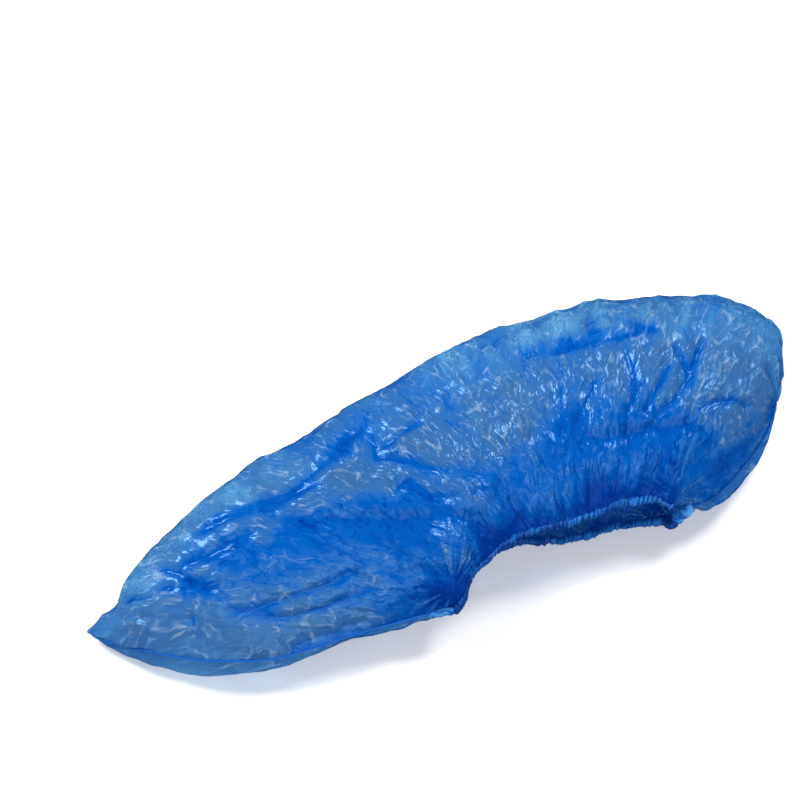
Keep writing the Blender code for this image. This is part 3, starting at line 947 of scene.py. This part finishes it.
def film_stack(material, place, depth):
    """How many layers of film there are: the folds' depth, which also carries painted light and shade, and
    dark lines of small folds.
    """
    broad_lines = thin_lines(material, place, BROAD_LINE_MM, 0.30, 0.016)
    fine_lines = thin_lines(material, place, THIN_LINE_MM, 0.40, 0.030)
    stack = add_node(
        material, "ShaderNodeMath", {"operation": "MULTIPLY_ADD", 1: 0.32}, {0: broad_lines, 2: depth}
    )
    stack = add_node(
        material, "ShaderNodeMath", {"operation": "MULTIPLY_ADD", 1: 0.26},
        {0: fine_lines, 2: stack.outputs[0]},
    )
    stack = add_node(material, "ShaderNodeMath", {"operation": "MAXIMUM", 1: 0.0}, {0: stack.outputs[0]})
    return stack.outputs[0]


def film_blue(material, stack, white):
    """The film's colour: pale, blue, whitened on its creases with painted glints, and deep where it bunches,
    with the painted light and shade that the stack carries.
    """
    pale, blue, deep = (hex_colour(code) for code in FILM_COLOURS)
    body = add_node(material, "ShaderNodeMix", {"data_type": "RGBA", 6: pale, 7: blue}, {0: stack})
    single = add_node(
        material, "ShaderNodeMapRange",
        {"From Min": 0.1, "From Max": 1.05, "To Min": 0.85, "To Max": 0.02}, {"Value": stack},
    )
    # Crease whitening and painted glints: the body turns toward the crease colour where the mask is.
    white = add_node(
        material, "ShaderNodeMath", {"operation": "MULTIPLY"}, {0: white, 1: single.outputs[0]}
    )
    body = add_node(
        material, "ShaderNodeMix", {"data_type": "RGBA", 7: hex_colour(CREASE_AND_GLINT_COLOUR)},
        {0: white.outputs[0], 6: body.outputs[2]},
    )
    bunched = add_node(
        material, "ShaderNodeMapRange", {"From Min": 0.95, "From Max": 1.6}, {"Value": stack}
    )
    return add_node(
        material, "ShaderNodeMix", {"data_type": "RGBA", 7: deep},
        {0: bunched.outputs[0], 6: body.outputs[2]},
    ).outputs[2]


def film_material():
    """Cast polyethylene film, dyed blue and finely embossed: clear blue where one layer
    lies over pale ground, deep blue where folds stack up, with a hazy gloss, whitened creases
    and painted glints along them, and painted light and shade on its crests and relief."""
    material = new_material("cast_polyethylene_film")
    depth = add_node(
        material, "ShaderNodeAttribute", {"attribute_name": "fold_depth"}
    ).outputs["Fac"]
    place = film_place(material)
    normal, white = film_crumples(material, place, depth)
    stack = film_stack(material, place, depth)
    body = film_blue(material, stack, white)

    # What shows through is tinted more deeply with each layer.
    layers = add_node(
        material, "ShaderNodeMath", {"operation": "MULTIPLY_ADD", 1: 1.3, 2: 0.35}, {0: stack}
    )
    tint = add_node(
        material, "ShaderNodeGamma", {"Color": hex_colour(FILM_TINT)}, {"Gamma": layers.outputs[0]}
    )
    clear = add_node(material, "ShaderNodeBsdfTransparent", {}, {"Color": tint.outputs[0]})

    # Stacked film is duller, because its crumples lie against each other.
    gloss = add_node(
        material, "ShaderNodeMapRange",
        {"From Min": 0.6, "From Max": 1.5, "To Min": 0.45, "To Max": 0.12}, {"Value": stack},
    )
    skin = add_node(
        material, "ShaderNodeBsdfPrincipled",
        {"Roughness": 0.18, "IOR": 1.5, "Specular Tint": hex_colour(GLOSS_TINT)},
        {"Base Color": body, "Normal": normal, "Specular IOR Level": gloss.outputs[0]},
    )

    # Single film is half clear, and stacked film hides most of what lies behind it.
    cover = add_node(
        material, "ShaderNodeMapRange",
        {"From Min": 0.0, "From Max": 1.0, "To Min": 0.42, "To Max": 0.84}, {"Value": stack},
    )
    mixed = add_node(
        material, "ShaderNodeMixShader", {}, {0: cover.outputs[0], 1: clear.outputs[0], 2: skin.outputs[0]}
    )
    add_node(material, "ShaderNodeOutputMaterial", {}, {"Surface": mixed.outputs[0]})
    return material


def strip_material(name, colour, gap_shade_and_crease_colour, roughness):
    """Bunched or welded polyethylene film: layers stacked so thick that little shows
    through, still glossy. Its colour runs from the gap colour to the rib colour by the rib
    attribute: on the hem, painted highlights on the ribs and painted shade in the gaps
    between them; on the tabs, the tone of their crumpled creases."""
    material = new_material(name)
    place = add_node(material, "ShaderNodeTexCoord")
    grain = add_node(
        material, "ShaderNodeTexNoise", {"Scale": 1000 / STRIP_GRAIN_MM, "Detail": 4.0},
        {"Vector": place.outputs["Object"]},
    )
    bump = add_node(
        material, "ShaderNodeBump", {"Strength": 0.6, "Distance": 0.0012}, {"Height": grain.outputs["Fac"]}
    )
    rib = add_node(material, "ShaderNodeAttribute", {"attribute_name": "rib"})
    body = add_node(
        material, "ShaderNodeMix",
        {"data_type": "RGBA", 6: hex_colour(gap_shade_and_crease_colour), 7: hex_colour(colour)}, {0: rib.outputs["Fac"]},
    )
    skin = add_node(
        material, "ShaderNodeBsdfPrincipled",
        {
            "Roughness": roughness, "IOR": 1.5, "Specular IOR Level": 0.4,
            "Specular Tint": hex_colour(GLOSS_TINT),
        },
        {"Base Color": body.outputs[2], "Normal": bump.outputs["Normal"]},
    )
    add_node(material, "ShaderNodeOutputMaterial", {}, {"Surface": skin.outputs[0]})
    return material


def elastic_material():
    """Extruded rubber thread, dyed blue: a matt band that the hem's film hides."""
    material = new_material("extruded_rubber_thread")
    place = add_node(material, "ShaderNodeTexCoord")
    grain = add_node(
        material, "ShaderNodeTexNoise", {"Scale": 1000 / RUBBER_GRAIN_MM, "Detail": 3.0},
        {"Vector": place.outputs["Object"]},
    )
    bump = add_node(
        material, "ShaderNodeBump", {"Strength": 0.4, "Distance": 0.0003}, {"Height": grain.outputs["Fac"]}
    )
    body = add_node(
        material, "ShaderNodeMix",
        {"data_type": "RGBA", 6: hex_colour("#0C4A8E"), 7: hex_colour("#1A60A6")}, {0: grain.outputs["Fac"]},
    )
    skin = add_node(
        material, "ShaderNodeBsdfPrincipled",
        {"Roughness": 0.7, "IOR": 1.52}, {"Base Color": body.outputs[2], "Normal": bump.outputs["Normal"]},
    )
    add_node(material, "ShaderNodeOutputMaterial", {}, {"Surface": skin.outputs[0]})
    return material


def floor_material():
    """Matt white card: an even pale ground that shows the film's blue."""
    material = new_material("matt_white_card")
    skin = add_node(
        material, "ShaderNodeBsdfPrincipled",
        {"Base Color": hex_colour("#FAFAFA"), "Roughness": 0.9, "Specular IOR Level": 0.1},
    )
    add_node(material, "ShaderNodeOutputMaterial", {}, {"Surface": skin.outputs[0]})
    return material


def make_stage():
    """The pale floor. Its white doesn't mirror in the film, which would look purple there."""
    bpy.ops.mesh.primitive_plane_add(size=6, location=(0, 0, 0))
    floor = bpy.context.object
    floor.name = "floor"
    floor.data.materials.append(floor_material())
    floor.visible_glossy = False


def make_light(name, place, size, power):
    """A soft round studio light that points at the cover."""
    lamp = bpy.data.lights.new(name, "AREA")
    lamp.shape = "DISK"
    lamp.size = size
    lamp.energy = power
    made = bpy.data.objects.new(name, lamp)
    made.location = place
    made.rotation_euler = (-Vector(place)).to_track_quat("-Z", "Y").to_euler()
    bpy.context.scene.collection.objects.link(made)


def make_camera():
    """The camera, at the photograph's view."""
    lens = bpy.data.cameras.new("camera")
    lens.lens = LENS_MM
    lens.sensor_width = SENSOR_MM
    camera = bpy.data.objects.new("camera", lens)
    right, up, back = camera_axes()
    turn = Matrix((right, up, back)).transposed().to_4x4()
    camera.matrix_world = Matrix.Translation(camera_place()) @ turn
    bpy.context.scene.collection.objects.link(camera)
    bpy.context.scene.camera = camera


def make_world():
    """An even white studio. Like the floor, it doesn't mirror in the film."""
    scene = bpy.context.scene
    scene.view_settings.view_transform = "Standard"
    scene.cycles.transparent_max_bounces = 24
    world = bpy.data.worlds.new("studio")
    scene.world = world
    world.use_nodes = True
    world.node_tree.nodes["Background"].inputs["Color"].default_value = (1, 1, 1, 1)
    world.node_tree.nodes["Background"].inputs["Strength"].default_value = 0.30
    world.cycles_visibility.glossy = False


make_camera()
make_world()
make_stage()
make_light("key_light", (-0.55, 0.6, 0.9), 0.4, 13)
make_light("side_light", (0.75, 0.25, 0.9), 0.35, 8)
make_light("front_light", (-0.1, -0.75, 0.8), 0.9, 7)
film = make_film()
hem = make_hem()
toe_seal = make_seal("toe_seal_weld", TOE_SEAL_START, TOE_CORNER_ROW, 260, 71)
heel_seal = make_seal("heel_seal_weld", HEEL_CORNER_ROW, HEEL_SEAL_END, 160, 72)
toe_tab = make_tab("toe_tab", (-23.0, -73.0, 26.5), (-35.5, -69.5, 24.5), 2.0, 1.2, 81)
heel_tab = make_tab("heel_tab", (98.0, -73.4, 23.5), (109.6, -70.8, 26.5), 2.9, 0.4, 82)
elastic = make_elastic()

# The hem's ribs are painted paler and the gaps between them darker: painted highlights and painted shade.
# The tabs' two tones follow their crumpled creases.
bunched = strip_material("bunched_polyethylene_hem", "#0F60AC", "#002E7A", 0.34)
weld = strip_material("welded_polyethylene_seam", "#0A58AC", "#003E90", 0.4)
rolled = strip_material("rolled_polyethylene_tab", "#3C80C0", "#004090", 0.32)
for piece, node, slot, material in (
    (film, "film_bag", "film", film_material()),
    (hem, "elastic_hem", "gathered_film", bunched),
    (toe_seal, "toe_seal", "gathered_film", weld),
    (heel_seal, "heel_seal", "gathered_film", weld),
    (toe_tab, "toe_seal", "gathered_film", rolled),
    (heel_tab, "heel_seal", "gathered_film", rolled),
    (elastic, "elastic_band", "elastic", elastic_material()),
):
    piece.data.materials.append(material)
    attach(piece, "root")
    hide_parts(node)
